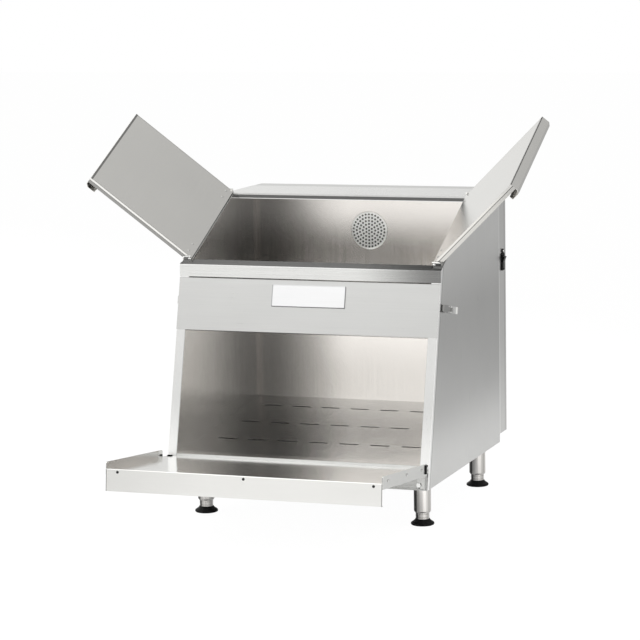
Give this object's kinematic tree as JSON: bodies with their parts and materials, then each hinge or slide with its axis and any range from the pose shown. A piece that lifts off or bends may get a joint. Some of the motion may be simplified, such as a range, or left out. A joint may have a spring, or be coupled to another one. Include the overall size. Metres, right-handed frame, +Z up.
{
  "type": "chip warmer",
  "caption": "Free-standing heated hopper for chips: sloping mouth with paired hinged lids, leaning front with a drop-down serving door, rear blower cover and adjustable legs.",
  "frame": {"origin": "on the floor under the centre of the footprint, with the lids and the door open as stored", "axes": "+X to the right seen from the front, +Y to the rear, +Z up"},
  "size_m": [1.0428, 1.0082, 0.9297],
  "materials": {
    "black_plastic": "black moulded plastic",
    "bright_steel": "polished steel",
    "ceramic": "dark phenolic",
    "dark_steel": "darkened steel draw hook",
    "element": "oxidised heating-element sheath",
    "galvanised": "galvanised sheet",
    "gloss_black": "glossy black moulded plastic",
    "hardware_steel": "plain steel hardware",
    "lens": "clear frosted lens",
    "liner_steel": "bright rolled stainless sheet",
    "outer_steel": "satin brushed stainless sheet",
    "plate_metal": "satin anodised plate",
    "rubber": "black rubber"
  },
  "bodies": {
    "cabinet": {"side_panel_left": "outer_steel", "side_panel_right": "outer_steel", "side_liners": "liner_steel", "base_pan": "galvanised", "front_rail": "outer_steel", "rear_panel": "galvanised", "top_deck": "outer_steel", "top_trim": "outer_steel", "front_panel": "outer_steel", "front_liner": "liner_steel", "badge_plate": "plate_metal", "hopper_floor": "liner_steel", "hopper_lining": "liner_steel", "inlet_screen": "liner_steel", "air_duct": "galvanised", "blower_housing": "galvanised", "blower_motor": "hardware_steel", "heater": "element", "hi_limit": "ceramic", "rear_cover": "outer_steel", "cover_posts": "galvanised", "switch_bezel": "black_plastic", "pilot_lamp": "gloss_black", "pilot_lens": "lens", "power_inlet": "black_plastic", "lid_brackets": "bright_steel", "cabinet_screws": "hardware_steel", "hinge_plates": "hardware_steel", "pivot_blocks": "black_plastic", "latch_keepers": "hardware_steel", "latch_bases": "hardware_steel", "legs": "outer_steel"},
    "lid_left": {"lid_left": "outer_steel", "lid_straps_left": "hardware_steel"},
    "lid_right": {"lid_right": "outer_steel", "lid_straps_right": "hardware_steel"},
    "door": {"door_skin": "outer_steel", "door_back": "outer_steel", "door_rivets": "hardware_steel", "door_screws": "hardware_steel", "door_lugs": "hardware_steel", "door_pins": "bright_steel", "stop_tabs": "outer_steel", "stop_bolts": "bright_steel", "door_bumpers": "rubber"},
    "latch_lever_left": {"latch_lever_left": "bright_steel"},
    "latch_lever_right": {"latch_lever_right": "bright_steel"},
    "latch_hook_left": {"latch_hook_left": "dark_steel"},
    "latch_hook_right": {"latch_hook_right": "dark_steel"},
    "power_rocker": {"switch_rocker": "gloss_black"},
    "blower_wheel": {"impeller": "galvanised"},
    "foot_front_left": {"foot_stem_front_left": "bright_steel", "foot_pad_front_left": "rubber"},
    "foot_front_right": {"foot_stem_front_right": "bright_steel", "foot_pad_front_right": "rubber"},
    "foot_rear_left": {"foot_stem_rear_left": "bright_steel", "foot_pad_rear_left": "rubber"},
    "foot_rear_right": {"foot_stem_rear_right": "bright_steel", "foot_pad_rear_right": "rubber"}
  },
  "joints": [
    {"name": "lid_left_hinge", "type": "hinge", "parent": "cabinet", "child": "lid_left", "pos_m": [-0.3, 0.10279, 0.66889], "axis": [0, 0.9034, 0.4288], "range_deg": [0, 134.5]},
    {"name": "lid_right_hinge", "type": "hinge", "parent": "cabinet", "child": "lid_right", "pos_m": [0.3, 0.10279, 0.66889], "axis": [0, -0.9034, -0.4288], "range_deg": [0, 134.5]},
    {"name": "door_hinge", "type": "hinge", "parent": "cabinet", "child": "door", "pos_m": [0, -0.16315, 0.14874], "axis": [-1, 0, 0], "range_deg": [0, 98.3]},
    {"name": "power_switch", "type": "hinge", "parent": "cabinet", "child": "power_rocker", "pos_m": [0.3164, 0.47006, 0.551], "axis": [0, -1, 0], "range_deg": [0, 22]},
    {"name": "blower_spin", "type": "hinge", "parent": "cabinet", "child": "blower_wheel", "pos_m": [0, 0.41806, 0.629], "axis": [0, 1, 0], "continuous": true},
    {"name": "latch_lever_left", "type": "hinge", "parent": "cabinet", "child": "latch_lever_left", "pos_m": [-0.3234, -0.00113, 0.49676], "axis": [0, 0.1908, 0.9816], "range_deg": [0, 95]},
    {"name": "latch_hook_left", "type": "hinge", "parent": "latch_lever_left", "child": "latch_hook_left", "pos_m": [-0.3262, 0.00672, 0.49523], "axis": [0, 0.1908, 0.9816], "range_deg": [-95, 0]},
    {"name": "latch_lever_right", "type": "hinge", "parent": "cabinet", "child": "latch_lever_right", "pos_m": [0.3234, -0.00113, 0.49676], "axis": [0, -0.1908, -0.9816], "range_deg": [0, 95]},
    {"name": "latch_hook_right", "type": "hinge", "parent": "latch_lever_right", "child": "latch_hook_right", "pos_m": [0.3262, 0.00672, 0.49523], "axis": [0, -0.1908, -0.9816], "range_deg": [-95, 0]},
    {"name": "foot_front_left_adjust", "type": "slide", "parent": "cabinet", "child": "foot_front_left", "axis": [0, 0, -1], "range_m": [0, 0.025]},
    {"name": "foot_front_right_adjust", "type": "slide", "parent": "cabinet", "child": "foot_front_right", "axis": [0, 0, -1], "range_m": [0, 0.025]},
    {"name": "foot_rear_left_adjust", "type": "slide", "parent": "cabinet", "child": "foot_rear_left", "axis": [0, 0, -1], "range_m": [0, 0.025]},
    {"name": "foot_rear_right_adjust", "type": "slide", "parent": "cabinet", "child": "foot_rear_right", "axis": [0, 0, -1], "range_m": [0, 0.025]}
  ],
  "couplings": [
    {"joint": "latch_hook_left", "follows": "latch_lever_left", "ratio": -1},
    {"joint": "latch_hook_right", "follows": "latch_lever_right", "ratio": -1}
  ]
}
